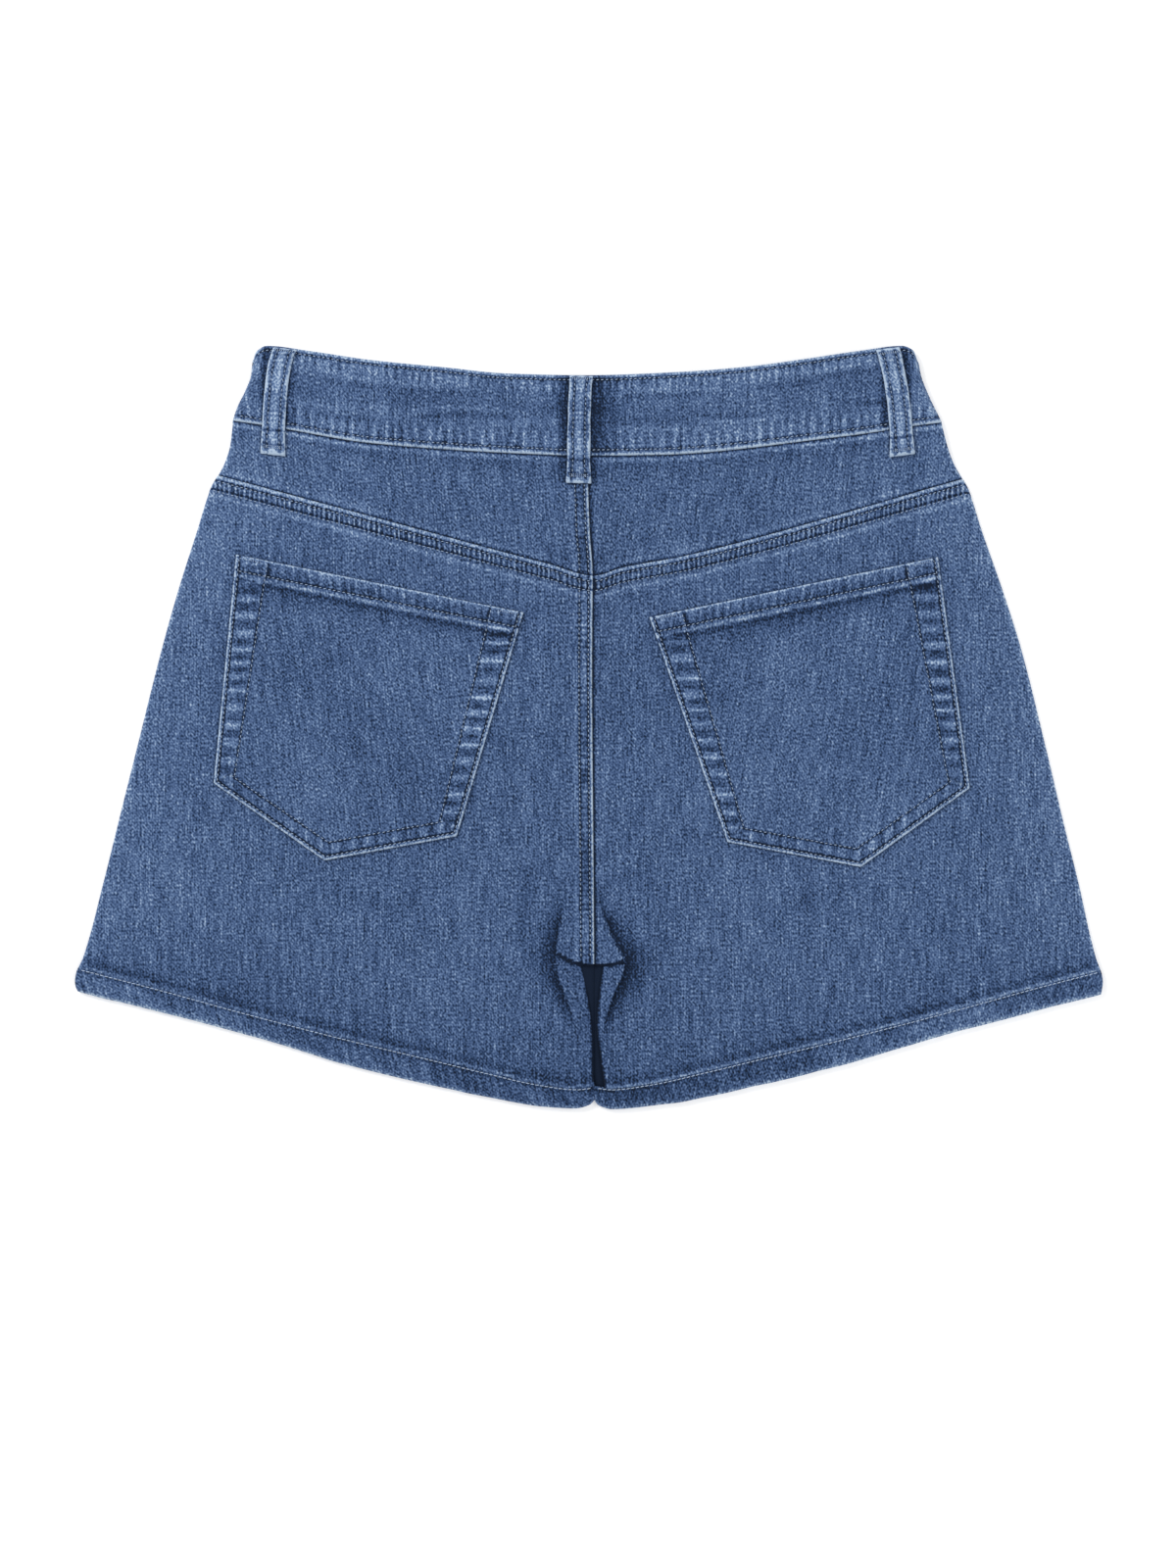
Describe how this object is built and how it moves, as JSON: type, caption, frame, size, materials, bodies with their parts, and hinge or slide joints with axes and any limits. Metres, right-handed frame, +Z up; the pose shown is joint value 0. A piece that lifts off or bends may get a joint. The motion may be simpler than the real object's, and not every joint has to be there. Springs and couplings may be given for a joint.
{
  "type": "denim shorts",
  "caption": "Denim shorts laid flat with the back up: contoured waistband with belt loops, V yoke, patch pockets, wide legs with stitched hems and a crotch gap.",
  "frame": {"origin": "centre of the shorts' box in X and Y, at the height of the surface that they lie on", "axes": "+X across the shorts towards the wearer's right leg, +Y from the hems to the waist, +Z up out of the back"},
  "size_m": [0.5763, 0.4283, 0.0127],
  "materials": {
    "denim": "mid-blue washed stretch denim, right-hand twill, matt",
    "topstitch": "light blue sewing thread, tone on tone",
    "button_metal": "aged brass, satin",
    "zip_tape": "navy woven zip tape"
  },
  "bodies": {
    "root": {"front_left": "denim", "front_right": "denim", "back_left": "denim", "back_right": "denim", "yoke_left": "denim", "yoke_right": "denim", "hem_left_back": "denim", "hem_left_front": "denim", "hem_right_back": "denim", "hem_right_front": "denim", "pocket_left": "denim", "pocket_right": "denim", "waistband_back": "denim", "waistband_front_left": "denim", "waistband_front_right": "denim", "loop_back_left": "denim", "loop_back_centre": "denim", "loop_back_right": "denim", "loop_front_left": "denim", "loop_front_right": "denim", "button_waist": "button_metal", "zip_tape": "zip_tape", "zip_slider": "button_metal"}
  },
  "joints": []
}
